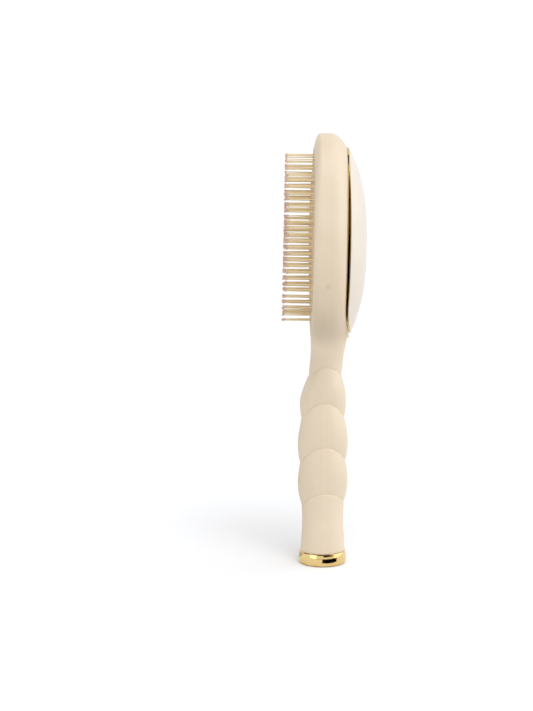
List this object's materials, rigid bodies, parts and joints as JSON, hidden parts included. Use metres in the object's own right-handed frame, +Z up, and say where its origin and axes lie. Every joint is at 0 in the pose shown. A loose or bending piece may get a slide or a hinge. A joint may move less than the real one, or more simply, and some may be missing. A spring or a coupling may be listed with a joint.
{
  "type": "detangling brush",
  "caption": "Upright detangling brush with an oval air cushion of ball-tipped pins, a domed back cover with a metal trim line, and a beaded handle on a flat metal end cap.",
  "frame": {"origin": "centre of the flat underside of the end cap that the brush stands on", "axes": "+Z up the handle to the top of the head, -Y the way the pins point, +Y the domed back, X across the head"},
  "size_m": [0.068, 0.0459, 0.2399],
  "materials": {
    "soft_shell": "matte soft-touch beige lacquer",
    "cover": "matte soft-touch ivory lacquer, a shade lighter than the body",
    "gold": "polished pale gold",
    "cushion": "matte beige rubber",
    "pins": "satin tan nylon with moulded ball tips",
    "vent": "satin beige plastic",
    "inner_plastic": "plain dark moulded plastic",
    "steel": "bright zinc plate"
  },
  "bodies": {
    "brush_body": {"front_shell": "soft_shell", "rear_shell": "soft_shell", "back_cover": "cover", "trim_ring": "gold", "end_cap": "gold", "cap_insert": "inner_plastic", "cap_stud": "steel", "balance_weight": "steel", "locating_pins": "steel", "vent_bush": "vent", "cushion": "cushion", "retaining_ring": "inner_plastic", "backing_plate": "inner_plastic", "plate_screws": "steel", "shell_screws": "steel"},
    "pin_field": {"pin_ring_1": "pins", "pin_ring_2": "pins", "pin_ring_3": "pins", "pin_ring_4": "pins", "pin_ring_5": "pins", "pin_ring_6": "pins", "pin_ring_7": "pins"}
  },
  "joints": [
    {"name": "cushion_give", "type": "slide", "parent": "brush_body", "child": "pin_field", "axis": [0, 0.9996, -0.0297], "range_m": [0, 0.0025], "stiffness_N_per_m": 500, "deforming": ["cushion"]}
  ]
}
